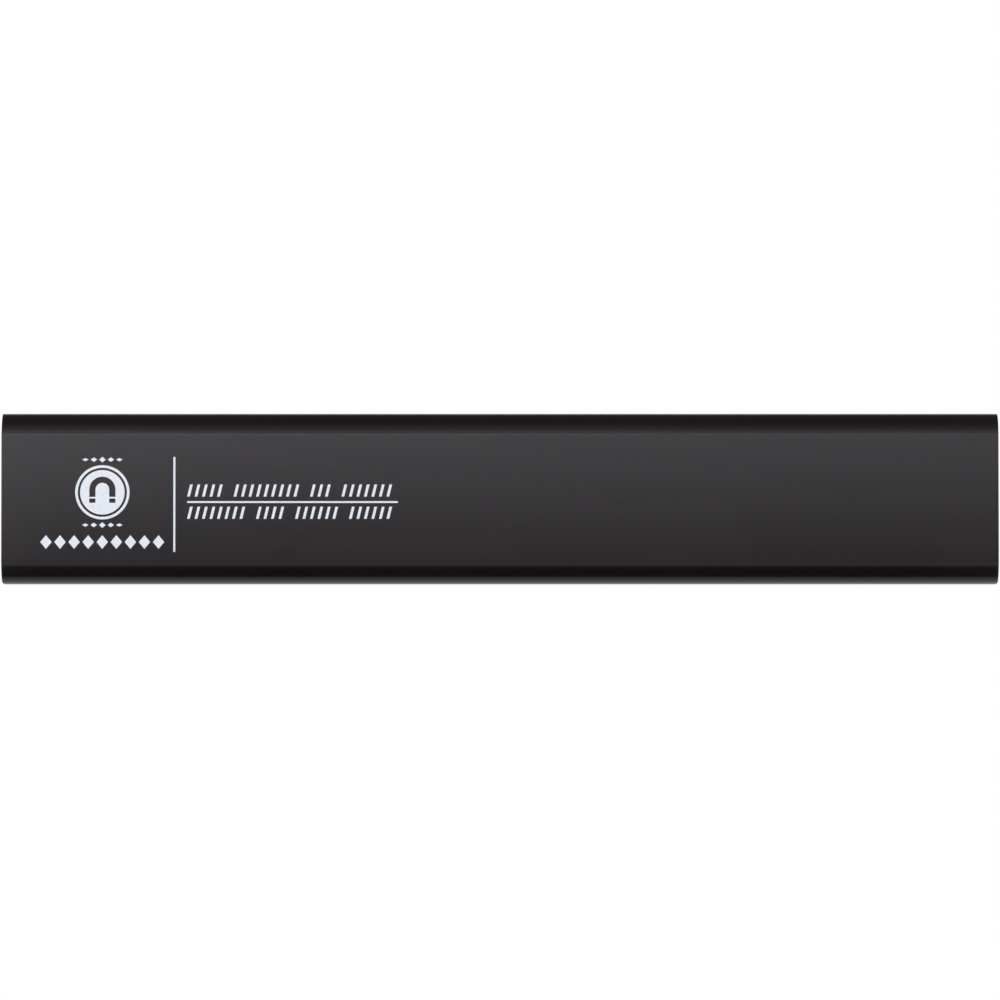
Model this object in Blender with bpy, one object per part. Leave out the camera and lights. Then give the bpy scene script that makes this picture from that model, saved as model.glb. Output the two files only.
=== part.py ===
"""A magnetic knife rack: a black extruded channel with a flat face, and magnets hidden behind it.

X runs along the rack, the knife face looks towards -Y and +Z is up. The origin is the middle of the
plane of the wall that the rack hangs on. Sizes are in metres, and MM turns millimetres into metres.

From the face to the wall come: the channel's face, a carrier full of ferrite magnets, a steel backing
plate behind two ribs, a track in which two keyhole hangers slide, the channel's two rear lips, and a
soft strip on each lip. A plug closes each end, and two screws hold the backing plate to each plug.
"""

import math

import bmesh
import bpy
from mathutils import Vector

MM = 0.001

# The channel
LENGTH = 304.8 * MM
HEIGHT = 52.0 * MM
FACE_RADIUS = 7.0 * MM
WALL = 1.7 * MM
REAR_RADIUS = 1.2 * MM
LIP_WIDTH = 8.0 * MM
RIB_THICKNESS = 1.4 * MM
RIB_REACH = 3.0 * MM
TRACK_DEPTH = 4.4 * MM

# Clearances
SEAT_GAP = 0.2 * MM
SLIDE_GAP = 0.3 * MM
PLUG_GAP = 0.25 * MM
HOLE_GAP = 0.2 * MM

# Magnets and what carries them
MAGNET_COUNT = 12
MAGNET_THICKNESS = 5.0 * MM
POCKET_WALL = 1.2 * MM
CARRIER_RAIL = 1.8 * MM
PLATE_THICKNESS = 1.2 * MM

# End plugs
PLUG_RECESS = 0.6 * MM
PLUG_FLANGE = 2.5 * MM
PLUG_BLOCK = 12.0 * MM
PLUG_FOOT = 3.0 * MM
PRY_SLOT_WIDTH = 1.6 * MM
PRY_SLOT_LENGTH = 9.0 * MM
PRY_SLOT_DEPTH = 1.2 * MM

# Plate screws, two at each end
SCREW_FROM_FLANGE = 8.0 * MM
SCREW_SPACING = 24.0 * MM
SCREW_RADIUS = 1.45 * MM
SCREW_BITE = 4.2 * MM
SCREW_TIP = 1.3 * MM
SCREW_HEAD_RADIUS = 2.7 * MM
SCREW_HEAD_HEIGHT = 1.2 * MM
RECESS_LENGTH = 2.8 * MM
RECESS_WIDTH = 0.6 * MM
RECESS_DEPTH = 0.8 * MM

# Keyhole hangers
HANGER_INSET = 52.4 * MM
SLIDER_LENGTH = 40.0 * MM
SLIDER_CORNER = 2.0 * MM
WINDOW_LENGTH = 22.0 * MM
KEY_PLATE_LENGTH = 32.0 * MM
KEY_PLATE_THICKNESS = 1.5 * MM
KEY_PLATE_CORNER = 2.0 * MM
KEY_PLATE_BORDER = 3.0 * MM
KEY_LEDGE = 2.0 * MM
KEY_HEAD_RADIUS = 4.75 * MM
KEY_SLOT_RADIUS = 2.4 * MM
KEY_TRAVEL = 10.5 * MM
RIVET_SPACING = 27.0 * MM
RIVET_RADIUS = 1.2 * MM
RIVET_HEAD_RADIUS = 2.1 * MM
RIVET_HEAD_HEIGHT = 0.7 * MM

# Soft strips on the wall side
STRIP_THICKNESS = 1.0 * MM
STRIP_WIDTH = 5.0 * MM
STRIP_END_INSET = 8.0 * MM

# Facets in a quarter turn
FACE_STEPS = 16
CORNER_STEPS = 5
ROUND_STEPS = 6

# A cutter runs this far past the wall that it cuts
CUT_PAST = 1.0 * MM
WELD = 0.001 * MM

# Planes across the depth, from the wall at 0 to the knife face
BODY_REAR = -STRIP_THICKNESS - SEAT_GAP
LIP_FRONT = BODY_REAR - WALL
TRACK_FRONT = LIP_FRONT - TRACK_DEPTH
RIB_FRONT = TRACK_FRONT - RIB_THICKNESS
PLATE_REAR = RIB_FRONT - SEAT_GAP
PLATE_FRONT = PLATE_REAR - PLATE_THICKNESS
MAGNET_REAR = PLATE_FRONT - SEAT_GAP
MAGNET_FRONT = MAGNET_REAR - MAGNET_THICKNESS
FACE_INSIDE = MAGNET_FRONT - SEAT_GAP
FACE = FACE_INSIDE - WALL

# Half heights
HALF = HEIGHT / 2
HALF_INSIDE = HALF - WALL
HALF_OPENING = HALF - LIP_WIDTH
HALF_RIB = HALF_INSIDE - RIB_REACH
HALF_FLAT = HALF - FACE_RADIUS

# Half lengths
PLUG_OUTSIDE = LENGTH / 2 - PLUG_RECESS
FLANGE_INSIDE = PLUG_OUTSIDE - PLUG_FLANGE
BLOCK_INSIDE = FLANGE_INSIDE - PLUG_BLOCK

MATERIALS = {
    "body_plastic": ((0.030, 0.028, 0.030), 0.34, 0.0),
    "plug_plastic": ((0.022, 0.022, 0.023), 0.55, 0.0),
    "carrier_plastic": ((0.55, 0.54, 0.50), 0.60, 0.0),
    "ferrite": ((0.075, 0.073, 0.072), 0.70, 0.0),
    "zinc_steel": ((0.62, 0.63, 0.65), 0.38, 1.0),
    "slider_nylon": ((0.045, 0.045, 0.047), 0.50, 0.0),
    "rivet_steel": ((0.70, 0.70, 0.71), 0.30, 1.0),
    "silicone": ((0.16, 0.16, 0.17), 0.80, 0.0),
}


def clear_scene():
    for obj in list(bpy.data.objects):
        bpy.data.objects.remove(obj, do_unlink=True)


def make_materials():
    """One Principled material for each entry of MATERIALS, by name."""
    made = {}
    for name, (colour, roughness, metallic) in MATERIALS.items():
        material = bpy.data.materials.new(name)
        material.use_nodes = True
        shader = material.node_tree.nodes["Principled BSDF"]
        shader.inputs["Base Color"].default_value = (*colour, 1.0)
        shader.inputs["Roughness"].default_value = roughness
        shader.inputs["Metallic"].default_value = metallic
        made[name] = material
    return made


def arc(centre, radius, start, end, steps):
    """Points of an arc in a plane, with the angles in degrees and both ends included."""
    points = []
    for i in range(steps + 1):
        angle = math.radians(start + (end - start) * i / steps)
        x = centre[0] + radius * math.cos(angle)
        y = centre[1] + radius * math.sin(angle)
        points.append((x, y))
    return points


def rounded_rectangle(half_width, half_height, radius):
    """The outline of a rectangle about (0, 0) with round corners, anticlockwise."""
    across = half_width - radius
    up = half_height - radius
    corners = (((across, up), 0), ((-across, up), 90), ((-across, -up), 180), ((across, -up), 270))
    outline = []
    for centre, start in corners:
        outline += arc(centre, radius, start, start + 90, CORNER_STEPS)
    return outline


def mirrored(half_outline):
    """A (y, z) outline above z = 0, with its own mirror image below added in reverse."""
    below = [(y, -z) for y, z in reversed(half_outline)]
    return half_outline + below


def extruded(outline, axis, low, high):
    """A bmesh of an outline pushed along X, from (y, z) points, or along Y, from (x, z) points."""
    mesh = bmesh.new()
    if axis == "X":
        start = [mesh.verts.new((low, a, b)) for a, b in outline]
        push = Vector((high - low, 0, 0))
    else:
        start = [mesh.verts.new((a, low, b)) for a, b in outline]
        push = Vector((0, high - low, 0))
    face = mesh.faces.new(start)
    grown = bmesh.ops.extrude_face_region(mesh, geom=[face], use_keep_orig=True)
    pushed = [item for item in grown["geom"] if isinstance(item, bmesh.types.BMVert)]
    bmesh.ops.translate(mesh, verts=pushed, vec=push)
    bmesh.ops.recalc_face_normals(mesh, faces=mesh.faces)
    return mesh


def box(low, high):
    """A bmesh box between two corners."""
    outline = [(low[0], low[2]), (high[0], low[2]), (high[0], high[2]), (low[0], high[2])]
    return extruded(outline, "Y", low[1], high[1])


def turned(profile):
    """A bmesh turned about the Y axis from (radius, y) points that start and end on the axis."""
    mesh = bmesh.new()
    points = [mesh.verts.new((radius, y, 0)) for radius, y in profile]
    edges = [mesh.edges.new(pair) for pair in zip(points, points[1:])]
    bmesh.ops.spin(
        mesh,
        geom=points + edges,
        axis=(0, 1, 0),
        cent=(0, 0, 0),
        angle=2 * math.pi,
        steps=4 * ROUND_STEPS,
        use_merge=True,
    )
    bmesh.ops.remove_doubles(mesh, verts=mesh.verts, dist=WELD)
    bmesh.ops.recalc_face_normals(mesh, faces=mesh.faces)
    return mesh


def moved(mesh, x=0.0, y=0.0, z=0.0):
    bmesh.ops.translate(mesh, verts=mesh.verts, vec=(x, y, z))
    return mesh


def holder(mesh):
    """A temporary object that holds a bmesh."""
    data = bpy.data.meshes.new("temporary")
    mesh.to_mesh(data)
    mesh.free()
    obj = bpy.data.objects.new("temporary", data)
    bpy.context.scene.collection.objects.link(obj)
    return obj


def combined(mesh, other, operation):
    """The Boolean of two bmeshes, which it uses up, as a new bmesh."""
    first = holder(mesh)
    second = holder(other)
    modifier = first.modifiers.new("combine", "BOOLEAN")
    modifier.operation = operation
    modifier.solver = "EXACT"
    modifier.object = second
    graph = bpy.context.evaluated_depsgraph_get()
    graph.update()
    result = bmesh.new()
    result.from_object(first, graph)
    for obj in (first, second):
        bpy.data.objects.remove(obj, do_unlink=True)
    return result


def cut(mesh, *cutters):
    for cutter in cutters:
        mesh = combined(mesh, cutter, "DIFFERENCE")
    return mesh


def joined(mesh, *others):
    for other in others:
        mesh = combined(mesh, other, "UNION")
    return mesh


def finished(name, mesh):
    """Blender mesh data from a bmesh, shaded smooth on its round faces only."""
    data = bpy.data.meshes.new(name)
    mesh.to_mesh(data)
    mesh.free()
    data.shade_smooth()
    data.set_sharp_from_angle(angle=math.radians(30))
    return data


def place(name, data, material, location=(0, 0, 0), parent=None):
    """A named object that shows this mesh data in this material."""
    obj = bpy.data.objects.new(name, data)
    bpy.context.scene.collection.objects.link(obj)
    if not data.materials:
        data.materials.append(material)
    obj.location = location
    obj.parent = parent
    return obj


def channel_outline():
    """The channel's closed (y, z) section: one wall all round, open at the rear between two lips."""
    arc_centre = (FACE + FACE_RADIUS, HALF_FLAT)
    rear_corner = (BODY_REAR - REAR_RADIUS, HALF - REAR_RADIUS)
    upper = arc(arc_centre, FACE_RADIUS, 180, 90, FACE_STEPS)
    upper += arc(rear_corner, REAR_RADIUS, 90, 0, CORNER_STEPS)
    upper += [
        (BODY_REAR, HALF_OPENING),
        (LIP_FRONT, HALF_OPENING),
        (LIP_FRONT, HALF_INSIDE),
        (TRACK_FRONT, HALF_INSIDE),
        (TRACK_FRONT, HALF_RIB),
        (RIB_FRONT, HALF_RIB),
        (RIB_FRONT, HALF_INSIDE),
    ]
    upper += arc(arc_centre, FACE_RADIUS - WALL, 90, 180, FACE_STEPS)
    return mirrored(upper)


def hollow_half_height(y):
    """Half the height of the channel's hollow at a depth, which is less where the face curves round."""
    ahead = FACE + FACE_RADIUS - y
    if ahead <= 0:
        return HALF_INSIDE
    return HALF_FLAT + math.sqrt((FACE_RADIUS - WALL) ** 2 - ahead ** 2)


def make_channel(materials):
    mesh = extruded(channel_outline(), "X", -LENGTH / 2, LENGTH / 2)
    return place("body_channel", finished("body_channel", mesh), materials["body_plastic"])


def flange_outline():
    """The (y, z) outline of a plug's flange: the channel's hollow, but its ribs, less a clearance."""
    arc_centre = (FACE + FACE_RADIUS, HALF_FLAT)
    upper = arc(arc_centre, FACE_RADIUS - WALL - PLUG_GAP, 180, 90, FACE_STEPS)
    upper += [
        (LIP_FRONT - PLUG_GAP, HALF_INSIDE - PLUG_GAP),
        (LIP_FRONT - PLUG_GAP, HALF_OPENING - PLUG_GAP),
        (BODY_REAR, HALF_OPENING - PLUG_GAP),
    ]
    return mirrored(upper)


def screw_places():
    """The (x, z) of the two plate screws at the right-hand end."""
    x = FLANGE_INSIDE - SCREW_FROM_FLANGE
    return [(x, -SCREW_SPACING / 2), (x, SCREW_SPACING / 2)]


def make_plug_mesh():
    """The right-hand plug: a flange, a block ahead of the backing plate and a foot behind it."""
    opening = HALF_OPENING - PLUG_GAP
    flange = extruded(flange_outline(), "X", FLANGE_INSIDE, PLUG_OUTSIDE)
    into = FLANGE_INSIDE + PLUG_FLANGE / 2
    block_high = (into, PLATE_FRONT - SEAT_GAP, HALF_FLAT)
    block = box((BLOCK_INSIDE, FACE_INSIDE + PLUG_GAP, -HALF_FLAT), block_high)
    foot_low = (FLANGE_INSIDE - PLUG_FOOT, PLATE_REAR + SEAT_GAP, -opening)
    foot = box(foot_low, (into, BODY_REAR, opening))
    plug = joined(flange, block, foot)
    notch = HALF_RIB - PLUG_GAP
    for low_z, high_z in ((notch, HALF), (-HALF, -notch)):
        notch_low = (FLANGE_INSIDE - CUT_PAST, RIB_FRONT - PLUG_GAP, low_z)
        plug = cut(plug, box(notch_low, (PLUG_OUTSIDE + CUT_PAST, TRACK_FRONT + PLUG_GAP, high_z)))
    for x, z in screw_places():
        pilot = SCREW_RADIUS + HOLE_GAP
        hole = turned([(0, FACE_INSIDE), (pilot, FACE_INSIDE), (pilot, PLATE_REAR), (0, PLATE_REAR)])
        plug = cut(plug, moved(hole, x=x, z=z))
    middle = (FACE_INSIDE + BODY_REAR) / 2
    slot_low = (PLUG_OUTSIDE - PRY_SLOT_DEPTH, middle - PRY_SLOT_WIDTH / 2, -PRY_SLOT_LENGTH / 2)
    slot_high = (PLUG_OUTSIDE + CUT_PAST, middle + PRY_SLOT_WIDTH / 2, PRY_SLOT_LENGTH / 2)
    return cut(plug, box(slot_low, slot_high))


def make_plugs(materials):
    right = make_plug_mesh()
    left = right.copy()
    bmesh.ops.scale(left, vec=(-1, 1, 1), verts=left.verts)
    bmesh.ops.reverse_faces(left, faces=left.faces)
    place("end_plug_right", finished("end_plug_right", right), materials["plug_plastic"])
    place("end_plug_left", finished("end_plug_left", left), materials["plug_plastic"])


def make_backing_plate(materials):
    half_length = FLANGE_INSIDE - SEAT_GAP
    half_height = hollow_half_height(PLATE_FRONT) - SEAT_GAP
    low = (-half_length, PLATE_FRONT, -half_height)
    plate = box(low, (half_length, PLATE_REAR, half_height))
    radius = SCREW_RADIUS + HOLE_GAP
    hole = [(0, PLATE_FRONT - CUT_PAST), (radius, PLATE_FRONT - CUT_PAST)]
    hole += [(radius, PLATE_REAR + CUT_PAST), (0, PLATE_REAR + CUT_PAST)]
    for side in (-1, 1):
        for x, z in screw_places():
            plate = cut(plate, moved(turned(hole), x=side * x, z=z))
    place("backing_plate", finished("backing_plate", plate), materials["zinc_steel"])


def make_magnets(materials):
    """The carrier, which fills the flat behind the face, and a ferrite block in each of its pockets."""
    half_height = HALF_FLAT - SEAT_GAP
    half_length = BLOCK_INSIDE - SEAT_GAP
    low = (-half_length, MAGNET_FRONT, -half_height)
    carrier = box(low, (half_length, MAGNET_REAR, half_height))
    pitch = (2 * half_length - POCKET_WALL) / MAGNET_COUNT
    pocket_x = (pitch - POCKET_WALL) / 2
    pocket_z = half_height - CARRIER_RAIL
    magnet_x = pocket_x - SEAT_GAP
    magnet_z = pocket_z - SEAT_GAP
    magnet_low = (-magnet_x, MAGNET_FRONT, -magnet_z)
    magnet = finished("magnet", box(magnet_low, (magnet_x, MAGNET_REAR, magnet_z)))
    for number in range(1, MAGNET_COUNT + 1):
        x = (number - (MAGNET_COUNT + 1) / 2) * pitch
        pocket_low = (x - pocket_x, MAGNET_FRONT - CUT_PAST, -pocket_z)
        pocket = box(pocket_low, (x + pocket_x, MAGNET_REAR + CUT_PAST, pocket_z))
        carrier = cut(carrier, pocket)
        place(f"magnet_{number:02d}", magnet, materials["ferrite"], (x, 0, 0))
    place("magnet_carrier", finished("magnet_carrier", carrier), materials["carrier_plastic"])


def make_screws(materials):
    """Pan-head screws through the backing plate into the plugs' blocks, heads towards the wall."""
    seat = PLATE_REAR + SEAT_GAP / 2
    top = seat + SCREW_HEAD_HEIGHT
    shank_end = PLATE_FRONT - SCREW_BITE + SCREW_TIP
    profile = [
        (0, top),
        (0.7 * SCREW_HEAD_RADIUS, top),
        (SCREW_HEAD_RADIUS, seat + 0.4 * SCREW_HEAD_HEIGHT),
        (SCREW_HEAD_RADIUS, seat),
        (SCREW_RADIUS, seat),
        (SCREW_RADIUS, shank_end),
        (0, shank_end - SCREW_TIP),
    ]
    screw = turned(profile)
    arm = RECESS_LENGTH / 2
    thin = RECESS_WIDTH / 2
    for half_x, half_z in ((arm, thin), (thin, arm)):
        low = (-half_x, top - RECESS_DEPTH, -half_z)
        screw = cut(screw, box(low, (half_x, top + CUT_PAST, half_z)))
    data = finished("plate_screw", screw)
    number = 1
    for side in (-1, 1):
        for x, z in screw_places():
            place(f"plate_screw_{number}", data, materials["zinc_steel"], (side * x, 0, z))
            number += 1


def keyhole_outline():
    """The (x, z) outline of a keyhole: a round hole for a screw's head, and a slot above it."""
    low = -KEY_TRAVEL / 2
    high = KEY_TRAVEL / 2
    meet = math.degrees(math.acos(KEY_SLOT_RADIUS / KEY_HEAD_RADIUS))
    outline = arc((0, high), KEY_SLOT_RADIUS, 0, 180, 2 * ROUND_STEPS)
    outline += arc((0, low), KEY_HEAD_RADIUS, 180 - meet, 360 + meet, 4 * ROUND_STEPS)
    return outline


def round_hole(radius, low, high, x):
    profile = [(0, low), (radius, low), (radius, high), (0, high)]
    return moved(turned(profile), x=x)


def make_hanger(side, name, materials):
    """One hanger: a nylon slider in the track, a steel keyhole plate let into it, and two rivets."""
    centre = side * (LENGTH / 2 - HANGER_INSET)
    empty = bpy.data.objects.new(f"{name}_origin", None)
    bpy.context.scene.collection.objects.link(empty)
    empty.location = (centre, 0, 0)
    front = TRACK_FRONT + SEAT_GAP
    rear = LIP_FRONT - SEAT_GAP
    plate_front = rear - KEY_PLATE_THICKNESS
    half_plate = HALF_OPENING - KEY_PLATE_BORDER
    half_window = half_plate - KEY_LEDGE
    rivet_hole = RIVET_RADIUS + HOLE_GAP

    outline = rounded_rectangle(SLIDER_LENGTH / 2, HALF_INSIDE - SLIDE_GAP, SLIDER_CORNER)
    slider = extruded(outline, "Y", front, rear)
    let_in = rounded_rectangle(
        KEY_PLATE_LENGTH / 2 + SEAT_GAP, half_plate + SEAT_GAP, KEY_PLATE_CORNER + SEAT_GAP
    )
    slider = cut(slider, extruded(let_in, "Y", plate_front - SEAT_GAP, rear + CUT_PAST))
    window = rounded_rectangle(WINDOW_LENGTH / 2, half_window, SLIDER_CORNER)
    slider = cut(slider, extruded(window, "Y", front - CUT_PAST, rear))

    outline = rounded_rectangle(KEY_PLATE_LENGTH / 2, half_plate, KEY_PLATE_CORNER)
    plate = extruded(outline, "Y", plate_front, rear)
    plate = cut(plate, extruded(keyhole_outline(), "Y", plate_front - CUT_PAST, rear + CUT_PAST))

    for x in (-RIVET_SPACING / 2, RIVET_SPACING / 2):
        slider = cut(slider, round_hole(rivet_hole, front - CUT_PAST, rear, x))
        plate = cut(plate, round_hole(rivet_hole, plate_front - CUT_PAST, rear + CUT_PAST, x))

    seat = rear + SEAT_GAP / 2
    tail = front - SEAT_GAP / 2
    rivet = finished("rivet", turned([
        (0, seat + RIVET_HEAD_HEIGHT),
        (0.6 * RIVET_HEAD_RADIUS, seat + 0.85 * RIVET_HEAD_HEIGHT),
        (RIVET_HEAD_RADIUS, seat + 0.2 * RIVET_HEAD_HEIGHT),
        (RIVET_HEAD_RADIUS, seat),
        (RIVET_RADIUS, seat),
        (RIVET_RADIUS, tail),
        (0.85 * RIVET_HEAD_RADIUS, tail),
        (0.85 * RIVET_HEAD_RADIUS, tail - 0.6 * RIVET_HEAD_HEIGHT),
        (0, tail - 0.6 * RIVET_HEAD_HEIGHT),
    ]))
    place(f"{name}_slider", finished(f"{name}_slider", slider), materials["slider_nylon"], parent=empty)
    place(f"{name}_keyplate", finished(f"{name}_keyplate", plate), materials["zinc_steel"], parent=empty)
    for number, x in enumerate((-RIVET_SPACING / 2, RIVET_SPACING / 2), start=1):
        place(f"{name}_rivet_{number}", rivet, materials["rivet_steel"], (x, 0, 0), empty)


def make_strips(materials):
    """A soft strip along the flat of each rear lip, which touches the wall."""
    flat = LIP_WIDTH - REAR_RADIUS
    centre = HALF_OPENING + flat / 2
    half_length = LENGTH / 2 - STRIP_END_INSET
    outline = rounded_rectangle(half_length, STRIP_WIDTH / 2, STRIP_WIDTH / 2)
    data = finished("wall_strip", extruded(outline, "Y", -STRIP_THICKNESS, 0.0))
    place("wall_strip_upper", data, materials["silicone"], (0, 0, centre))
    place("wall_strip_lower", data, materials["silicone"], (0, 0, -centre))


def main():
    clear_scene()
    materials = make_materials()
    make_channel(materials)
    make_plugs(materials)
    make_backing_plate(materials)
    make_magnets(materials)
    make_screws(materials)
    make_hanger(-1, "left_hanger", materials)
    make_hanger(1, "right_hanger", materials)
    make_strips(materials)


main()
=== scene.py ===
"""Looks for the magnetic knife rack: fine rounded meshes, materials, studio light and a camera.

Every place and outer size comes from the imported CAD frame. The named values below are the small
things that the frame's boxes can't say, such as a wall's thickness or the radius of an edge.
X runs along the rack, the knife face looks towards -Y, and sizes are in metres.
"""

import math

import bmesh
import bpy
from mathutils import Matrix, Vector


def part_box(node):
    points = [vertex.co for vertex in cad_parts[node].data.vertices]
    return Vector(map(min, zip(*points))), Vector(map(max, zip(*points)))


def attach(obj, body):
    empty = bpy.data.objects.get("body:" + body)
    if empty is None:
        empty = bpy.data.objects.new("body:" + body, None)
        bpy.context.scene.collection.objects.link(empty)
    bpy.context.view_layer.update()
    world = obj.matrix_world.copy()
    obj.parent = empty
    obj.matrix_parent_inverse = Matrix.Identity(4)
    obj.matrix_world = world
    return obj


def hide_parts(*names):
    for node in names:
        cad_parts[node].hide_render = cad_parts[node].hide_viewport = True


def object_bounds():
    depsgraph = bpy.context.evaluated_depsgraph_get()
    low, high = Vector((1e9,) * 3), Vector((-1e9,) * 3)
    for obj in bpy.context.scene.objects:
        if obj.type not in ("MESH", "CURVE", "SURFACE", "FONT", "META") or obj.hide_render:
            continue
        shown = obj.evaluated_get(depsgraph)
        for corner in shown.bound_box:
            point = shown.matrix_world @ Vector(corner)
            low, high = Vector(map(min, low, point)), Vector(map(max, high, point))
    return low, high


MM = 0.001

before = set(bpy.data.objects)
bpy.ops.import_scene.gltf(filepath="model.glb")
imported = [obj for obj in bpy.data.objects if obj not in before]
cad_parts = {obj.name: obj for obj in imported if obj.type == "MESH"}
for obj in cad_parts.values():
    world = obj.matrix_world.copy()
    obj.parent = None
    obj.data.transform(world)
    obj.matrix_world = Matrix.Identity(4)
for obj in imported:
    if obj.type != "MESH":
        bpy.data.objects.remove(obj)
CAD_LOW, CAD_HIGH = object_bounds()

# The channel's section, as in the CAD model
FACE_RADIUS = 7.0 * MM
WALL = 1.7 * MM
REAR_RADIUS = 1.2 * MM
LIP_WIDTH = 8.0 * MM
RIB_THICKNESS = 1.4 * MM
RIB_REACH = 3.0 * MM
TRACK_DEPTH = 4.4 * MM

# Rounding of edges, each kind of piece by itself
END_ROUND = 0.30 * MM
LIP_ROUND = 0.22 * MM
PLUG_ROUND = 0.30 * MM
PLATE_ROUND = 0.15 * MM
NYLON_ROUND = 0.35 * MM
STAMPED_ROUND = 0.22 * MM
STRIP_ROUND = 0.38 * MM
SCREW_ROUND = 0.06 * MM

# Plate screws: radii and lengths along their axis
SCREW_HEAD = 1.2 * MM
SCREW_SHANK = 1.45 * MM
SCREW_CROWN = 0.75 * MM
SCREW_RIM = 0.1 * MM
SCREW_POINT = 1.3 * MM
RECESS_REACH = 1.45 * MM
RECESS_HALF_WIDTH = 0.32 * MM
RECESS_DEPTH = 0.85 * MM
RECESS_TIP = 0.5 * MM
RECESS_TIP_REACH = 0.45
RECESS_TIP_WIDTH = 0.75
CUT_SPARE = 1.0 * MM

# Hanger rivets
RIVET_SHANK = 1.2 * MM
RIVET_DOME = 0.7 * MM
RIVET_TAIL = 0.42 * MM
RIVET_TAIL_SHARE = 0.8
RIVET_TAIL_ROUND = 0.2 * MM
RIVET_TAIL_STEPS = 6

# Points nearer than this are one: in new meshes, in CAD solids and cuts, and in the print
SAME = 0.001 * MM
SAME_IN_SOLID = 0.002 * MM
SAME_IN_PRINT = 0.0005 * MM

# Angles between faces, in degrees: one flat face, a sharp edge, and the shell's eased edges
FLAT_WITHIN = 0.5
SHARP_OVER = 32.0
EASED_OVER = 30.0

# Steps in a quarter turn
FACE_STEPS = 40
CORNER_STEPS = 10
ROUND_STEPS = 16

# White print on the face: x from the rack's left end, z from its middle
INK = 0.03 * MM
INK_SUNK = 0.01 * MM
MEDALLION_X = 30.9 * MM
MEDALLION_Z = 1.6 * MM
RING_RADII = (8.3 * MM, 7.5 * MM, 6.8 * MM)
RING_STEPS = 96
MAGNET_ABOVE = 0.8 * MM
MAGNET_OUTER = 4.0 * MM
MAGNET_INNER = 2.1 * MM
MAGNET_LEG = 2.2 * MM
MAGNET_TIP_GAP = 0.5 * MM
MAGNET_TIP = 1.3 * MM
BOW_STEPS = 32
STUD_ROWS = (11.6 * MM, -8.4 * MM)
STUDS_EACH_SIDE = 2
STUD_PITCH = 2.6 * MM
STUD_HALF_WIDTH = 1.0 * MM
STUD_HALF_HEIGHT = 0.9 * MM
STUD_SHRINK = 0.2 * MM
DIAMONDS_Z = -13.6 * MM
DIAMONDS_EACH_SIDE = 4
DIAMOND_PITCH = 4.3 * MM
DIAMOND_HALF_WIDTH = 1.75 * MM
DIAMOND_HALF_HEIGHT = 2.1 * MM
DIVIDER_X = 52.9 * MM
DIVIDER_HALF_WIDTH = 0.3 * MM
DIVIDER_LOW = -16.6 * MM
DIVIDER_HIGH = 12.4 * MM
RULE_X = 56.8 * MM
RULE_LENGTH = 64.4 * MM
RULE_LOW = -1.65 * MM
RULE_HIGH = -1.1 * MM
TICK_ROWS = {
    "print_ticks_upper": (0.3 * MM, (5, 9, 3, 7)),
    "print_ticks_lower": (-6.5 * MM, (8, 4, 6, 6)),
}
TICK_HEIGHT = 3.7 * MM
TICK_LEAN = 0.9 * MM
TICK_WIDTH = 0.36
TICK_GAP = 1.2
TICKS_END_SHORT = 1.2 * MM

# Camera: its distance and frame in metres and shares of the rack, its angle in degrees
SENSOR = 36.0
LENS_DISTANCE = 2.4
LENS_BELOW = 2.7
AIM_BELOW = 0.75 * MM
LENGTH_IN_VIEW = 0.9976
NEAR = 0.05
FAR = 50.0

# Floor
FLOOR_DROP = 2.6
FLOOR_REACH = 30.0
FLOOR_GLOW = 0.50

# Light on dull surfaces from all round, and the room that reflections show: strengths, and where
# along a direction's Y and |X| each part of it starts and is full
FILL = 0.80
ROOM_IN_FRONT = 0.05
ROOM_BEHIND = 1.0
BEHIND_FROM = 0.68
BEHIND_TO = 1.05
ROOM_AT_SIDES = 0.75
SIDES_FROM = 0.40
SIDES_TO = 0.80

# Lamps: two opposite corners and a radiance
FRONT_LAMP = ((-0.57, -0.44, 0.042), (0.57, -0.44, 0.80), 1.0)
LEFT_LAMP = ((-0.75, -0.44, -0.12), (-0.20, -0.44, 0.03), 1.0)
REAR_LAMP = ((-1.25, 0.85, 0.05), (-0.47, 0.65, 0.80), 3.0)
FRONT_LAMP_COLOUR = (0.965, 0.955, 1.0)
LAMP_FADE = 0.151
LAMP_FADE_START = 0.02
LAMP_FADE_POWER = 1.5
LAMP_SIDE_FADE = -0.65

# Card seen in reflections: its radius about the lower front arc, and degrees above that arc's front
FLAG_REACH = 0.06
FLAG_SPARE = 0.012
FLAG_FROM = 4
FLAG_TO = -176
FLAG_STEPS = 60
FLAG_BLACK_FROM = -26
FLAG_BLACK_TO = -92
FLAG_SMOKED = 0.5


# ---------------------------------------------------------------- mesh helpers

def arc(centre, radius, start, end, steps):
    """Points of an arc, with its angles in degrees and both ends included."""
    points = []
    for i in range(steps + 1):
        angle = math.radians(start + (end - start) * i / steps)
        points.append((centre[0] + radius * math.cos(angle), centre[1] + radius * math.sin(angle)))
    return points


def rounded_rectangle(half_width, half_height, radius, centre=(0.0, 0.0)):
    """The outline of a rectangle with round corners, anticlockwise, with no point twice."""
    across = half_width - radius
    up = half_height - radius
    outline = []
    for x, z, start in ((across, up, 0), (-across, up, 90), (-across, -up, 180), (across, -up, 270)):
        outline += arc((centre[0] + x, centre[1] + z), radius, start, start + 90, CORNER_STEPS)
    before = outline[-1:] + outline[:-1]
    return [point for point, last in zip(outline, before) if math.dist(point, last) > SAME]


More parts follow.
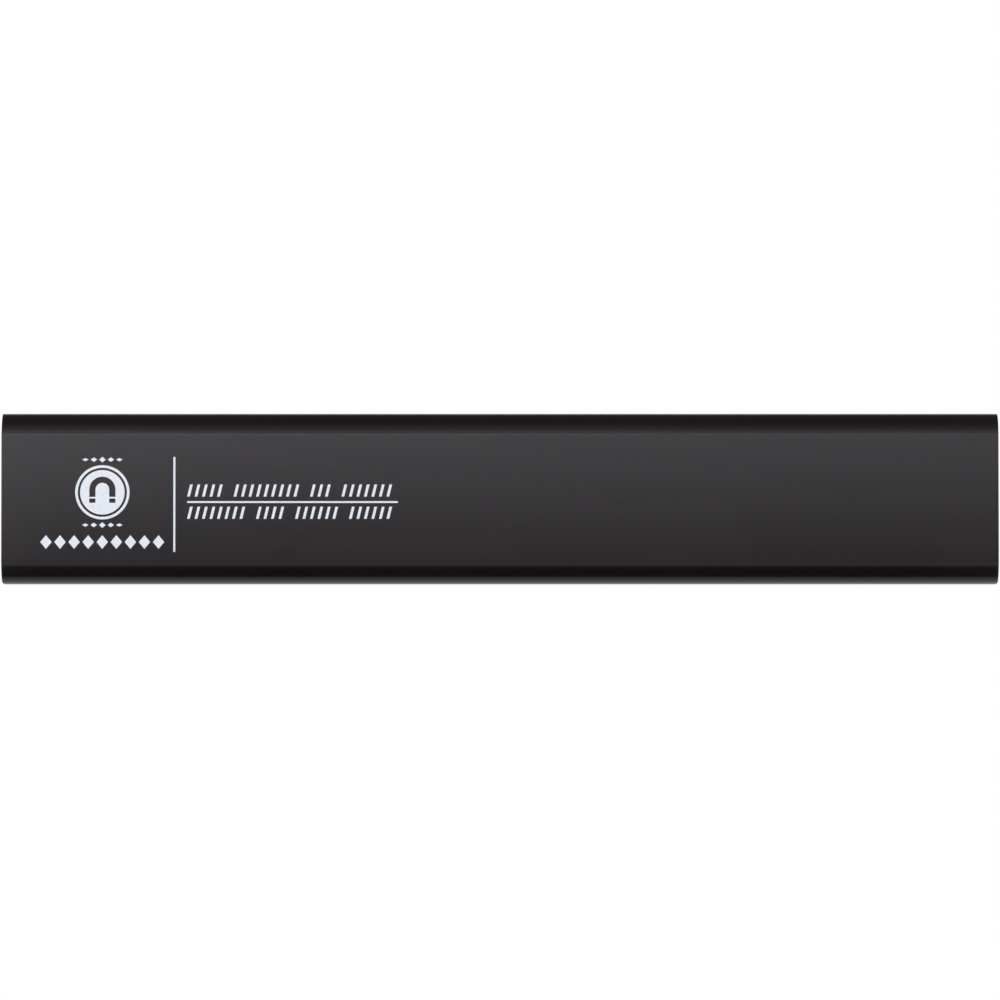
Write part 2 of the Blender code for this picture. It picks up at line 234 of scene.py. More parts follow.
def extruded(outline, axis, low, high):
    """A bmesh of an outline pushed along X, from (y, z) points, or along Y, from (x, z) points."""
    mesh = bmesh.new()
    if axis == "X":
        start = [mesh.verts.new((low, a, b)) for a, b in outline]
        push = Vector((high - low, 0, 0))
    else:
        start = [mesh.verts.new((a, low, b)) for a, b in outline]
        push = Vector((0, high - low, 0))
    face = mesh.faces.new(start)
    grown = bmesh.ops.extrude_face_region(mesh, geom=[face], use_keep_orig=True)
    pushed = [item for item in grown["geom"] if isinstance(item, bmesh.types.BMVert)]
    bmesh.ops.translate(mesh, verts=pushed, vec=push)
    bmesh.ops.recalc_face_normals(mesh, faces=mesh.faces)
    return mesh


def turned(profile, steps=4 * ROUND_STEPS):
    """A bmesh turned about the Y axis from (radius, y) points that start and end on the axis."""
    mesh = bmesh.new()
    points = [mesh.verts.new((radius, y, 0)) for radius, y in profile]
    edges = [mesh.edges.new(pair) for pair in zip(points, points[1:])]
    bmesh.ops.spin(mesh, geom=points + edges, axis=(0, 1, 0), cent=(0, 0, 0),
                   angle=2 * math.pi, steps=steps, use_merge=True)
    bmesh.ops.remove_doubles(mesh, verts=mesh.verts, dist=SAME)
    bmesh.ops.recalc_face_normals(mesh, faces=mesh.faces)
    return mesh


def box(low, high):
    """A bmesh box between two corners."""
    outline = [(low[0], low[2]), (high[0], low[2]), (high[0], high[2]), (low[0], high[2])]
    return extruded(outline, "Y", low[1], high[1])


def holder(mesh, name="temporary"):
    """An object in the scene that holds a bmesh, which is freed."""
    data = bpy.data.meshes.new(name)
    mesh.to_mesh(data)
    mesh.free()
    obj = bpy.data.objects.new(name, data)
    bpy.context.scene.collection.objects.link(obj)
    return obj


def evaluated(obj):
    """The object's mesh with its modifiers, as a new bmesh. The object is removed."""
    graph = bpy.context.evaluated_depsgraph_get()
    graph.update()
    result = bmesh.new()
    result.from_object(obj, graph)
    bpy.data.objects.remove(obj, do_unlink=True)
    return result


def cut(mesh, cutter):
    """A bmesh less another. Both are freed."""
    first = holder(mesh)
    second = holder(cutter)
    modifier = first.modifiers.new("cut", "BOOLEAN")
    modifier.operation = "DIFFERENCE"
    modifier.solver = "EXACT"
    modifier.object = second
    result = evaluated(first)
    bpy.data.objects.remove(second, do_unlink=True)
    return result


def whole_faces(mesh):
    """Joins the triangles of each flat face into one face again."""
    bmesh.ops.remove_doubles(mesh, verts=mesh.verts, dist=SAME_IN_SOLID)
    bmesh.ops.dissolve_limit(mesh, angle_limit=math.radians(FLAT_WITHIN), verts=mesh.verts,
                             edges=mesh.edges)
    return mesh


def cad_solid(node):
    """A copy of a CAD node's solid as a bmesh."""
    mesh = bmesh.new()
    mesh.from_mesh(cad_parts[node].data)
    return whole_faces(mesh)


def flat_faces_first(obj):
    """Shading that keeps the large faces flat, and lets only the rounded edges turn."""
    weighted = obj.modifiers.new("flat_faces_first", "WEIGHTED_NORMAL")
    weighted.mode = "FACE_AREA"
    weighted.weight = 100
    weighted.thresh = 0.0


def piece(name, mesh, material, body, rounding=0.0, segments=3, nodes=()):
    """A finished piece that rides on a CAD body: rounded edges, smooth shading and a material."""
    obj = holder(mesh, name)
    obj.data.shade_smooth()
    if rounding:
        bevel = obj.modifiers.new("rounded_edges", "BEVEL")
        bevel.width = rounding
        bevel.segments = segments
        bevel.limit_method = "ANGLE"
        bevel.angle_limit = math.radians(SHARP_OVER)
        bevel.use_clamp_overlap = True
        flat_faces_first(obj)
    else:
        obj.data.set_sharp_from_angle(angle=math.radians(SHARP_OVER))
    obj.data.materials.append(material)
    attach(obj, body)
    if nodes:
        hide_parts(*nodes)
    return obj


# ---------------------------------------------------------------- materials

def maths_node(tree, operation, *values, clamp=False):
    """The result of a Math node, whose inputs are constants or sockets."""
    node = tree.nodes.new("ShaderNodeMath")
    node.operation = operation
    node.use_clamp = clamp
    for socket, value in zip(node.inputs, values):
        if isinstance(value, (int, float)):
            socket.default_value = value
        else:
            tree.links.new(value, socket)
    return node.outputs["Value"]


def range_node(tree, value, low, high, to_low, to_high, smooth=False):
    """The result of a Map Range node."""
    node = tree.nodes.new("ShaderNodeMapRange")
    if smooth:
        node.interpolation_type = "SMOOTHSTEP"
    tree.links.new(value, node.inputs["Value"])
    names = ("From Min", "From Max", "To Min", "To Max")
    for key, number in zip(names, (low, high, to_low, to_high)):
        node.inputs[key].default_value = number
    return node.outputs["Result"]


class Shader:
    """A Principled material built from a few chained nodes, in object coordinates."""

    def __init__(self, name):
        self.material = bpy.data.materials.new(name)
        self.material.use_nodes = True
        self.tree = self.material.node_tree
        self.nodes = self.tree.nodes
        self.links = self.tree.links
        self.shader = self.nodes["Principled BSDF"]
        self.place = self.nodes.new("ShaderNodeTexCoord").outputs["Object"]

    def set(self, **values):
        """Constants on the shader's own sockets, such as base_color or ior."""
        for key, value in values.items():
            socket = self.shader.inputs[key.replace("_", " ").title().replace("Ior", "IOR")]
            socket.default_value = value

    def scaled(self, x, y, z):
        node = self.nodes.new("ShaderNodeMapping")
        node.inputs["Scale"].default_value = (x, y, z)
        self.links.new(self.place, node.inputs["Vector"])
        return node.outputs["Vector"]

    def noise(self, scale, detail=3.0, roughness=0.5, stretch=(1, 1, 1)):
        node = self.nodes.new("ShaderNodeTexNoise")
        node.inputs["Scale"].default_value = scale
        node.inputs["Detail"].default_value = detail
        node.inputs["Roughness"].default_value = roughness
        self.links.new(self.scaled(*stretch), node.inputs["Vector"])
        return node.outputs["Fac"]

    def ranged(self, value, low, high, to_low, to_high):
        return range_node(self.tree, value, low, high, to_low, to_high)

    def maths(self, operation, first, second):
        return maths_node(self.tree, operation, first, second)

    def mixed(self, factor, first, second):
        """A colour between two colours, each a constant or a socket."""
        node = self.nodes.new("ShaderNodeMix")
        node.data_type = "RGBA"
        self.links.new(factor, node.inputs["Factor"])
        # The colour sockets share their names with the number and vector ones
        for socket, colour in zip((node.inputs[6], node.inputs[7]), (first, second)):
            if isinstance(colour, tuple):
                socket.default_value = (*colour, 1.0)
            else:
                self.links.new(colour, socket)
        return node.outputs[2]

    def specks(self, scale, radius, share):
        """1 inside small round specks, one for each of a share of cells, and 0 elsewhere."""
        cells = self.nodes.new("ShaderNodeTexVoronoi")
        cells.inputs["Scale"].default_value = scale
        self.links.new(self.place, cells.inputs["Vector"])
        near = self.maths("LESS_THAN", cells.outputs["Distance"], radius * scale)
        parted = self.nodes.new("ShaderNodeSeparateColor")
        self.links.new(cells.outputs["Color"], parted.inputs["Color"])
        chosen = self.maths("LESS_THAN", parted.outputs["Red"], share)
        return self.maths("MULTIPLY", near, chosen)

    def bump(self, height, strength, distance):
        """Adds a bump to those that the shader already has."""
        node = self.nodes.new("ShaderNodeBump")
        node.inputs["Strength"].default_value = strength
        node.inputs["Distance"].default_value = distance
        self.links.new(height, node.inputs["Height"])
        previous = self.shader.inputs["Normal"]
        if previous.is_linked:
            self.links.new(previous.links[0].from_socket, node.inputs["Normal"])
        self.links.new(node.outputs["Normal"], previous)

    def into(self, name, value):
        """Links a value to one of the shader's sockets."""
        self.links.new(value, self.shader.inputs[name])


def body_plastic():
    """Black extruded plastic with a satin skin, faint die lines along its length and a little dust."""
    made = Shader("body_plastic_satin")
    cloud = made.noise(22.0, detail=4.0)
    lines = made.noise(550.0, detail=1.0, stretch=(0.002, 1, 1))
    base = made.mixed(cloud, (0.0080, 0.0054, 0.0066), (0.0098, 0.0070, 0.0084))
    dust = made.specks(70.0, 0.18 * MM, 0.20)
    made.into("Base Color", made.mixed(dust, base, (0.12, 0.115, 0.12)))
    rough = made.maths("ADD", made.ranged(cloud, 0.3, 0.7, 0.238, 0.262),
                       made.ranged(lines, 0.3, 0.7, -0.006, 0.006))
    made.into("Roughness", made.maths("ADD", rough, made.maths("MULTIPLY", dust, 0.4)))
    made.bump(made.noise(2600.0, detail=1.0), 0.05, 0.02 * MM)
    made.bump(lines, 0.03, 0.02 * MM)
    made.set(ior=1.52)
    return made.material


def plug_plastic():
    """Moulded black plastic with a fine spark-eroded grain."""
    made = Shader("plug_plastic_grain")
    cloud = made.noise(60.0)
    made.into("Base Color", made.mixed(cloud, (0.010, 0.010, 0.0105), (0.017, 0.017, 0.0175)))
    made.into("Roughness", made.ranged(cloud, 0.3, 0.7, 0.48, 0.58))
    made.bump(made.noise(3800.0, detail=3.0, roughness=0.7), 0.35, 0.03 * MM)
    return made.material


def slider_nylon():
    """Glass-filled black nylon: slightly mottled, with a soft sheen."""
    made = Shader("slider_nylon_moulded")
    cloud = made.noise(140.0, detail=5.0, roughness=0.6)
    made.into("Base Color", made.mixed(cloud, (0.020, 0.020, 0.021), (0.034, 0.034, 0.035)))
    made.into("Roughness", made.ranged(cloud, 0.3, 0.7, 0.40, 0.55))
    made.bump(made.noise(2600.0, detail=2.0), 0.22, 0.03 * MM)
    made.bump(made.noise(260.0, detail=1.0), 0.05, 0.2 * MM)
    return made.material


def zinc_steel(name, grain, tint):
    """Rolled steel with bright zinc plating: cloudy grains, rolling lines and a faint blue tint."""
    made = Shader(name)
    cloud = made.noise(35.0, detail=4.0, roughness=0.6)
    crystals = made.noise(420.0, detail=2.0, roughness=0.4)
    lines = made.noise(1400.0, detail=2.0, stretch=grain)
    plated = made.mixed(cloud, (0.54, 0.56, 0.59), (0.68, 0.69, 0.70))
    made.into("Base Color", made.mixed(made.ranged(crystals, 0.35, 0.75, 0.0, 0.55), plated, tint))
    rough = made.maths("ADD", made.ranged(cloud, 0.3, 0.7, 0.28, 0.38),
                       made.ranged(lines, 0.3, 0.7, -0.05, 0.05))
    made.into("Roughness", rough)
    made.set(metallic=1.0)
    made.bump(lines, 0.10, 0.02 * MM)
    made.bump(crystals, 0.05, 0.04 * MM)
    return made.material


def rivet_steel():
    """Nickel-bright headed steel with faint turning marks and small dents."""
    made = Shader("rivet_steel_bright")
    cloud = made.noise(600.0, detail=3.0)
    made.into("Base Color", made.mixed(cloud, (0.60, 0.60, 0.60), (0.74, 0.73, 0.72)))
    made.into("Roughness", made.ranged(cloud, 0.3, 0.7, 0.22, 0.36))
    made.set(metallic=1.0)
    made.bump(cloud, 0.12, 0.05 * MM)
    return made.material


def silicone():
    """Dark grey silicone with a matte skin that holds a little lint."""
    made = Shader("silicone_matte")
    cloud = made.noise(90.0, detail=4.0)
    base = made.mixed(cloud, (0.060, 0.060, 0.063), (0.082, 0.082, 0.086))
    lint = made.specks(260.0, 0.10 * MM, 0.10)
    made.into("Base Color", made.mixed(lint, base, (0.24, 0.24, 0.24)))
    made.into("Roughness", made.ranged(cloud, 0.3, 0.7, 0.66, 0.80))
    made.bump(made.noise(2200.0, detail=3.0, roughness=0.65), 0.30, 0.04 * MM)
    return made.material


def ferrite():
    """Sintered ferrite: dark grey, dry and slightly chalky, with fine pits."""
    made = Shader("ferrite_sintered")
    cloud = made.noise(200.0, detail=5.0, roughness=0.6)
    made.into("Base Color", made.mixed(cloud, (0.045, 0.044, 0.043), (0.095, 0.092, 0.090)))
    made.into("Roughness", made.ranged(cloud, 0.3, 0.7, 0.62, 0.82))
    made.bump(made.noise(1800.0, detail=4.0, roughness=0.7), 0.4, 0.05 * MM)
    return made.material


def carrier_plastic():
    """Unpainted moulded plastic, off-white."""
    made = Shader("carrier_plastic_natural")
    cloud = made.noise(80.0, detail=3.0)
    made.into("Base Color", made.mixed(cloud, (0.52, 0.51, 0.46), (0.60, 0.59, 0.55)))
    made.into("Roughness", made.ranged(cloud, 0.3, 0.7, 0.50, 0.65))
    made.bump(made.noise(2400.0, detail=2.0), 0.2, 0.03 * MM)
    return made.material


def print_ink():
    """White pad-print ink, a little uneven where the black shows through."""
    made = Shader("print_ink_white")
    cover = made.noise(1500.0, detail=4.0, roughness=0.6)
    thin = made.ranged(cover, 0.25, 0.50, 1.0, 0.0)
    made.into("Base Color", made.mixed(thin, (0.80, 0.84, 0.90), (0.66, 0.70, 0.76)))
    made.into("Roughness", made.ranged(cover, 0.3, 0.7, 0.38, 0.50))
    made.bump(cover, 0.12, 0.01 * MM)
    return made.material


# ---------------------------------------------------------------- the rack's pieces

def channel_section(low, high):
    """The channel's (y, z) outline between its front and rear planes, with fine arcs."""
    half = high.z
    inside = half - WALL
    flat = half - FACE_RADIUS
    lip_front = high.y - WALL
    track_front = lip_front - TRACK_DEPTH
    rib_front = track_front - RIB_THICKNESS
    arc_centre = (low.y + FACE_RADIUS, flat)
    upper = arc(arc_centre, FACE_RADIUS, 180, 90, FACE_STEPS)
    upper += arc((high.y - REAR_RADIUS, half - REAR_RADIUS), REAR_RADIUS, 90, 0, CORNER_STEPS)
    upper += [
        (high.y, half - LIP_WIDTH),
        (lip_front, half - LIP_WIDTH),
        (lip_front, inside),
        (track_front, inside),
        (track_front, inside - RIB_REACH),
        (rib_front, inside - RIB_REACH),
        (rib_front, inside),
    ]
    upper += arc(arc_centre, FACE_RADIUS - WALL, 90, 180, FACE_STEPS)
    return upper + [(y, -z) for y, z in reversed(upper)]


def make_shell(material):
    """The channel: ends eased more than the long inner corners, as after a light deburring."""
    low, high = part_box("body_channel")
    mesh = extruded(channel_section(low, high), "X", low.x, high.x)
    weight = mesh.edges.layers.float.new("bevel_weight_edge")
    for edge in mesh.edges:
        if edge.calc_face_angle(0.0) < math.radians(EASED_OVER):
            continue
        along = abs(edge.verts[0].co.x - edge.verts[1].co.x) > high.x
        edge[weight] = LIP_ROUND / END_ROUND if along else 1.0
    obj = piece("channel_shell", mesh, material, "rack", nodes=["body_channel"])
    bevel = obj.modifiers.new("eased_edges", "BEVEL")
    bevel.width = END_ROUND
    bevel.segments = 5
    bevel.limit_method = "WEIGHT"
    flat_faces_first(obj)


def make_plugs(material):
    """The end plugs, with the rounded edges of a moulding."""
    for side in ("left", "right"):
        node = f"end_plug_{side}"
        piece(f"moulded_plug_{side}", cad_solid(node), material, "rack", PLUG_ROUND,
              nodes=[node])


def make_plate(material):
    """The steel plate behind the magnets."""
    piece("steel_backing", cad_solid("backing_plate"), material, "rack", PLATE_ROUND, 2,
          nodes=["backing_plate"])


def make_strips(material):
    """The soft strips on the rear lips, with round ends."""
    for side in ("upper", "lower"):
        node = f"wall_strip_{side}"
        low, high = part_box(node)
        width = high.z - low.z
        outline = rounded_rectangle(high.x, width / 2, width / 2, (0, (low.z + high.z) / 2))
        piece(f"soft_strip_{side}", extruded(outline, "Y", low.y, high.y), material, "rack",
              STRIP_ROUND, 4, nodes=[node])


def make_screws(material):
    """Pan-head screws with a cross recess, finely turned over their CAD solids."""
    for number in range(1, 5):
        node = f"plate_screw_{number}"
        low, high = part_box(node)
        centre = (low + high) / 2
        radius = (high.x - low.x) / 2
        seat = high.y - SCREW_HEAD
        crown = arc((radius - SCREW_CROWN, high.y - SCREW_CROWN), SCREW_CROWN, 90, 0, ROUND_STEPS)
        profile = [(0, high.y)] + crown
        profile += [(radius, seat + SCREW_RIM), (radius - SCREW_RIM, seat), (SCREW_SHANK, seat)]
        profile += [(SCREW_SHANK, low.y + SCREW_POINT), (0, low.y)]
        screw = turned(profile)
        for angle in (0, 90):
            arm = recess_arm(high.y)
            turn = Matrix.Rotation(math.radians(angle), 3, "Y")
            bmesh.ops.rotate(arm, verts=arm.verts, matrix=turn)
            screw = cut(screw, arm)
        whole_faces(screw)
        bmesh.ops.translate(screw, verts=screw.verts, vec=(centre.x, 0, centre.z))
        piece(f"cross_head_screw_{number}", screw, material, "rack", SCREW_ROUND, 2,
              nodes=[node])


def recess_arm(top):
    """One arm of a cross recess: a blade that narrows as it goes down."""
    mesh = box((-RECESS_REACH, top - RECESS_DEPTH, -RECESS_HALF_WIDTH),
               (RECESS_REACH, top + CUT_SPARE, RECESS_HALF_WIDTH))
    for vert in mesh.verts:
        if vert.co.y < top - RECESS_TIP:
            vert.co.x *= RECESS_TIP_REACH
            vert.co.z *= RECESS_TIP_WIDTH
    return mesh


def make_hanger(side, nylon, steel, bright):
    """A hanger's slider, its stamped keyhole plate and its two domed rivets."""
    body = f"{side}_hanger"
    piece(f"{side}_nylon_slider", cad_solid(f"{body}_slider"), nylon, body,
          NYLON_ROUND, nodes=[f"{body}_slider"])
    piece(f"{side}_stamped_keyplate", cad_solid(f"{body}_keyplate"), steel, body,
          STAMPED_ROUND, nodes=[f"{body}_keyplate"])
    for number in (1, 2):
        node = f"{body}_rivet_{number}"
        low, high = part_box(node)
        centre = (low + high) / 2
        radius = (high.x - low.x) / 2
        seat = high.y - RIVET_DOME
        tail = low.y + RIVET_TAIL
        tail_radius = RIVET_TAIL_SHARE * radius
        sphere = (radius ** 2 + RIVET_DOME ** 2) / (2 * RIVET_DOME)
        spread = math.degrees(math.asin(radius / sphere))
        dome = arc((0, high.y - sphere), sphere, 90, 90 - spread, ROUND_STEPS)
        profile = dome + [(RIVET_SHANK, seat), (RIVET_SHANK, tail), (tail_radius, tail)]
        profile += arc((tail_radius - RIVET_TAIL_ROUND, low.y + RIVET_TAIL_ROUND), RIVET_TAIL_ROUND,
                       0, -90, RIVET_TAIL_STEPS)
        profile += [(0, low.y)]
        rivet = turned(profile)
        bmesh.ops.translate(rivet, verts=rivet.verts, vec=(centre.x, 0, centre.z))
        piece(f"{side}_domed_rivet_{number}", rivet, bright, body, nodes=[node])


def make_hidden(materials):
    """The carrier and magnets stay as their CAD solids, with a material of their own."""
    for name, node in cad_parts.items():
        if name.startswith("magnet_"):
            node.data.materials.clear()
            kind = "carrier" if name == "magnet_carrier" else "ferrite"
            node.data.materials.append(materials[kind])


# ---------------------------------------------------------------- print on the face

def printed(name, loops, material, face):
    """A thin printed shape from closed (x, z) loops, where a loop inside another is a hole."""
    curve = bpy.data.curves.new(name, "CURVE")
    curve.dimensions = "2D"
    curve.fill_mode = "BOTH"
    curve.extrude = (INK + INK_SUNK) / 2
    for loop in loops:
        spline = curve.splines.new("POLY")
        spline.points.add(len(loop) - 1)
        for point, (x, z) in zip(spline.points, loop):
            point.co = (x, z, 0, 1)
        spline.use_cyclic_u = True
    flat = bpy.data.objects.new("temporary", curve)
    bpy.context.scene.collection.objects.link(flat)
    bpy.context.view_layer.update()
    data = bpy.data.meshes.new_from_object(flat.evaluated_get(bpy.context.evaluated_depsgraph_get()))
    mesh = bmesh.new()
    mesh.from_mesh(data)
    bpy.data.objects.remove(flat, do_unlink=True)
    bpy.data.curves.remove(curve)
    bpy.data.meshes.remove(data)
    stand = Matrix.Rotation(math.radians(90), 4, "X")
    bmesh.ops.transform(mesh, matrix=stand, verts=mesh.verts)
    bmesh.ops.translate(mesh, verts=mesh.verts, vec=(0, face - INK + (INK + INK_SUNK) / 2, 0))
    bmesh.ops.remove_doubles(mesh, verts=mesh.verts, dist=SAME_IN_PRINT)
    bmesh.ops.recalc_face_normals(mesh, faces=mesh.faces)
    piece(name, mesh, material, "rack")


def circle(centre, radius):
    return arc(centre, radius, 0, 360 - 360 / RING_STEPS, RING_STEPS - 1)


def rectangle(low_x, low_z, high_x, high_z):
    return [(low_x, low_z), (high_x, low_z), (high_x, high_z), (low_x, high_z)]


def diamond(x, z, half_width, half_height):
    return [(x + half_width, z), (x, z + half_height), (x - half_width, z), (x, z - half_height)]


def slanted_bar(x, low_z, high_z, width, lean):
    return [(x, low_z), (x + width, low_z), (x + width + lean, high_z), (x + lean, high_z)]


def horseshoe(x, z):
    """A horseshoe magnet, opening downwards, as one bow and two separate pole tips."""
    outer = MAGNET_OUTER
    inner = MAGNET_INNER
    foot = z - MAGNET_LEG
    bow = arc((x, z), outer, 0, 180, BOW_STEPS)
    bow += [(x - outer, foot), (x - inner, foot)]
    bow += arc((x, z), inner, 180, 0, BOW_STEPS)
    bow += [(x + inner, foot), (x + outer, foot)]
    top = foot - MAGNET_TIP_GAP
    left = rectangle(x - outer, top - MAGNET_TIP, x - inner, top)
    right = rectangle(x + inner, top - MAGNET_TIP, x + outer, top)
    return [bow, left, right]


def each_side(count):
    return range(-count, count + 1)


def make_print(material):
    """A plain medallion and rows of marks, with no lettering, where such a rack carries its print."""
    low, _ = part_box("body_channel")
    face = low.y
    x = low.x + MEDALLION_X
    z = MEDALLION_Z
    rings = [circle((x, z), radius) for radius in RING_RADII]
    printed("print_medallion", rings + horseshoe(x, z + MAGNET_ABOVE), material, face)

    studs = []
    for row in STUD_ROWS:
        for step in each_side(STUDS_EACH_SIDE):
            tall = STUD_HALF_HEIGHT - STUD_SHRINK * abs(step)
            studs.append(diamond(x + STUD_PITCH * step, row, STUD_HALF_WIDTH, tall))
    printed("print_studs", studs, material, face)

    diamonds = [diamond(x + DIAMOND_PITCH * step, DIAMONDS_Z, DIAMOND_HALF_WIDTH, DIAMOND_HALF_HEIGHT)
                for step in each_side(DIAMONDS_EACH_SIDE)]
    printed("print_diamonds", diamonds, material, face)

    middle = low.x + DIVIDER_X
    divider = rectangle(middle - DIVIDER_HALF_WIDTH, DIVIDER_LOW, middle + DIVIDER_HALF_WIDTH, DIVIDER_HIGH)
    printed("print_divider", [divider], material, face)

    start = low.x + RULE_X
    rule = rectangle(start, RULE_LOW, start + RULE_LENGTH, RULE_HIGH)
    printed("print_rule", [rule], material, face)

    for name, (foot, groups) in TICK_ROWS.items():
        pitch = (RULE_LENGTH - TICKS_END_SHORT) / (sum(groups) + TICK_GAP * (len(groups) - 1))
        bars = []
        place = start
        for group in groups:
            for _ in range(group):
                bars.append(slanted_bar(place, foot, foot + TICK_HEIGHT, TICK_WIDTH * pitch, TICK_LEAN))
                place += pitch
            place += TICK_GAP * pitch
        printed(name, bars, material, face)


# ---------------------------------------------------------------- studio

def make_world():
    """White for the camera, white behind the rack for reflections, and an even soft fill elsewhere."""
    world = bpy.data.worlds.new("studio")
    bpy.context.scene.world = world
    world.use_nodes = True
    tree = world.node_tree
    nodes = tree.nodes
    nodes.clear()

    parted = nodes.new("ShaderNodeSeparateXYZ")
    tree.links.new(nodes.new("ShaderNodeTexCoord").outputs["Generated"], parted.inputs["Vector"])
    across = maths_node(tree, "ABSOLUTE", parted.outputs["X"])
    behind = range_node(tree, parted.outputs["Y"], BEHIND_FROM, BEHIND_TO, ROOM_IN_FRONT, ROOM_BEHIND,
                        smooth=True)
    sides = range_node(tree, across, SIDES_FROM, SIDES_TO, 0.0, ROOM_AT_SIDES, smooth=True)
    room = maths_node(tree, "ADD", behind, sides)

    path = nodes.new("ShaderNodeLightPath")
    camera = path.outputs["Is Camera Ray"]
    seen = maths_node(tree, "ADD", path.outputs["Is Glossy Ray"], path.outputs["Is Transmission Ray"],
                      clamp=True)
    rest = maths_node(tree, "SUBTRACT", 1.0, maths_node(tree, "ADD", seen, camera, clamp=True))
    strength = maths_node(tree, "ADD", camera, maths_node(tree, "MULTIPLY", seen, room))
    strength = maths_node(tree, "ADD", strength, maths_node(tree, "MULTIPLY", rest, FILL))

    background = nodes.new("ShaderNodeBackground")
    background.inputs["Color"].default_value = (1.0, 1.0, 1.0, 1.0)
    tree.links.new(strength, background.inputs["Strength"])
    output = nodes.new("ShaderNodeOutputWorld")
    tree.links.new(background.outputs["Background"], output.inputs["Surface"])


def make_softbox(name, low, high, radiance):
    """A soft light between two corners (x, y, z), level along X, which faces the rack."""
    low = Vector(low)
    high = Vector(high)
    size = high - low
    centre = (low + high) / 2
    facing = Vector((0, size.z, -size.y))
    if facing.dot(centre) > 0:
        facing.negate()
    light = bpy.data.lights.new(name, "AREA")
    light.shape = "RECTANGLE"
    light.size = abs(size.x)
    light.size_y = Vector((size.y, size.z)).length
    light.energy = radiance * math.pi * light.size * light.size_y
    lamp = bpy.data.objects.new(name, light)
    bpy.context.scene.collection.objects.link(lamp)
    lamp.location = centre
    lamp.rotation_euler = facing.to_track_quat("-Z", "Y").to_euler()
    lamp.visible_camera = False
    return light


def shade_front_softbox(light, low, high):
    """The front light fades with height, and from the rack's left to its right."""
    light.use_nodes = True
    tree = light.node_tree
    parted = tree.nodes.new("ShaderNodeSeparateXYZ")
    place = tree.nodes.new("ShaderNodeNewGeometry").outputs["Parametric"]
    tree.links.new(place, parted.inputs["Vector"])
    height = maths_node(tree, "MULTIPLY_ADD", parted.outputs["Y"], high[2] - low[2],
                        low[2] + LAMP_FADE_START)
    across = maths_node(tree, "MULTIPLY_ADD", parted.outputs["X"], high[0] - low[0], low[0])
    by_height = maths_node(tree, "POWER", maths_node(tree, "DIVIDE", LAMP_FADE, height), LAMP_FADE_POWER)
    by_side = maths_node(tree, "MULTIPLY_ADD", across, LAMP_SIDE_FADE, 1.0)
    strength = maths_node(tree, "MULTIPLY", by_height, by_side)
    tree.links.new(strength, tree.nodes["Emission"].inputs["Strength"])


def make_lights():
    """A soft light ahead, one at its lower left, and one behind and above for the rear."""
    front = make_softbox("front_softbox", *FRONT_LAMP)
    shade_front_softbox(front, FRONT_LAMP[0], FRONT_LAMP[1])
    front.color = FRONT_LAMP_COLOUR
    make_softbox("left_softbox", *LEFT_LAMP)
    make_softbox("rear_softbox", *REAR_LAMP)


def make_flag():
    """A card about the lower front edge, seen only in reflections.

    It is black where it draws that edge's dark line, and lets half through elsewhere.
    """
    centre = Vector((0, CAD_LOW.y + FACE_RADIUS, CAD_LOW.z + FACE_RADIUS))
    side = CAD_HIGH.x + FLAG_SPARE
    mesh = bmesh.new()
    angles = [FLAG_FROM + (FLAG_TO - FLAG_FROM) * step / FLAG_STEPS for step in range(FLAG_STEPS + 1)]
    rows = []
    for angle in angles:
        turn = math.radians(angle)
        out = Vector((0, -math.cos(turn), math.sin(turn))) * FLAG_REACH
        rows.append([mesh.verts.new(centre + out + Vector((x, 0, 0))) for x in (-side, side)])
    for angle, first, second in zip(angles, rows, rows[1:]):
        face = mesh.faces.new((first[0], first[1], second[1], second[0]))
        face.material_index = 0 if FLAG_BLACK_TO < angle <= FLAG_BLACK_FROM else 1
    flag = holder(mesh, "flag")
    for name, alpha in (("flag_black", 1.0), ("flag_smoked", FLAG_SMOKED)):
        made = Shader(name)
        made.set(base_color=(0.004, 0.004, 0.004, 1.0), roughness=1.0, alpha=alpha)
        flag.data.materials.append(made.material)
    for kind in ("camera", "diffuse", "transmission", "shadow", "volume_scatter"):
        setattr(flag, f"visible_{kind}", False)


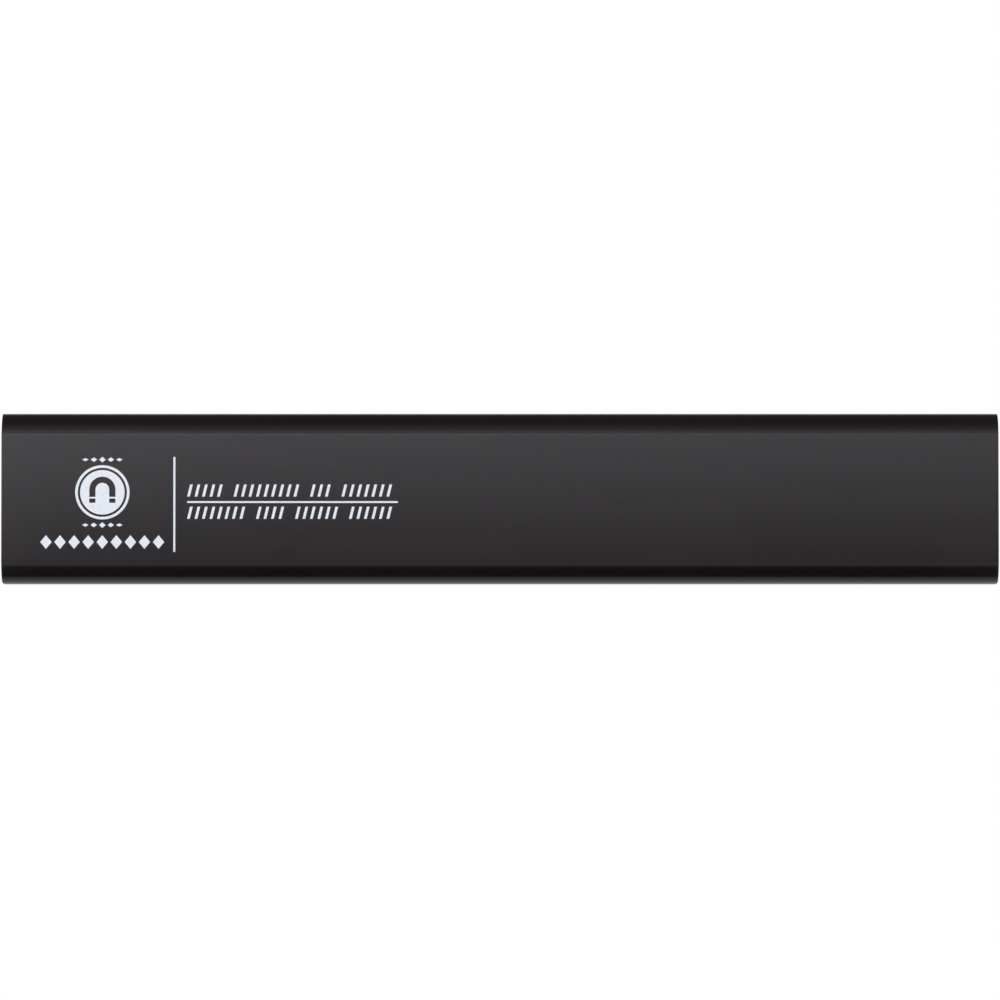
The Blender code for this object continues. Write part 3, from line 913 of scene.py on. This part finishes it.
def make_floor():
    """A pale floor well below the rack, so that it can be seen from below. It keeps the shadow."""
    mesh = bmesh.new()
    height = CAD_LOW.z - FLOOR_DROP
    mesh.faces.new([mesh.verts.new((x * FLOOR_REACH, y * FLOOR_REACH, height))
                    for x, y in ((-1, -1), (1, -1), (1, 1), (-1, 1))])
    floor = holder(mesh, "floor")
    made = Shader("floor_pale")
    shade = made.noise(3.0, detail=2.0)
    made.into("Base Color", made.mixed(shade, (0.60, 0.60, 0.60), (0.63, 0.63, 0.63)))
    made.set(roughness=0.9)
    path = made.nodes.new("ShaderNodeLightPath")
    seen = made.maths("ADD", path.outputs["Is Camera Ray"], path.outputs["Is Glossy Ray"])
    seen = made.maths("ADD", seen, path.outputs["Is Transmission Ray"])
    made.set(emission_color=(1.0, 1.0, 1.0, 1.0))
    made.into("Emission Strength", made.maths("MULTIPLY", seen, FLOOR_GLOW))
    floor.data.materials.append(made.material)


def make_camera():
    """A long lens a little below the rack, which fills the frame's width with it."""
    centre = (CAD_LOW + CAD_HIGH) / 2
    face_centre = Vector((centre.x, CAD_LOW.y, centre.z))
    down = math.radians(LENS_BELOW)
    back = Vector((0, -math.cos(down), -math.sin(down)))
    data = bpy.data.cameras.new("camera")
    data.sensor_width = SENSOR
    length = CAD_HIGH.x - CAD_LOW.x
    data.lens = SENSOR * LENS_DISTANCE * LENGTH_IN_VIEW / length
    data.dof.use_dof = False
    data.clip_start = NEAR
    data.clip_end = FAR
    camera = bpy.data.objects.new("camera", data)
    bpy.context.scene.collection.objects.link(camera)
    camera.location = face_centre + back * LENS_DISTANCE - Vector((0, 0, AIM_BELOW))
    camera.rotation_euler = (-back).to_track_quat("-Z", "Y").to_euler()
    bpy.context.scene.camera = camera


def main():
    steel = zinc_steel("zinc_steel_rolled", (0.02, 1, 1), (0.50, 0.54, 0.62))
    stamped = zinc_steel("zinc_steel_stamped", (1, 1, 0.03), (0.60, 0.58, 0.50))
    make_shell(body_plastic())
    make_plugs(plug_plastic())
    make_plate(steel)
    make_strips(silicone())
    make_screws(stamped)
    nylon = slider_nylon()
    bright = rivet_steel()
    for side in ("left", "right"):
        make_hanger(side, nylon, stamped, bright)
    make_hidden({"ferrite": ferrite(), "carrier": carrier_plastic()})
    make_print(print_ink())

    make_world()
    make_lights()
    make_flag()
    make_floor()
    make_camera()
    bpy.context.scene.view_settings.view_transform = "Standard"


main()
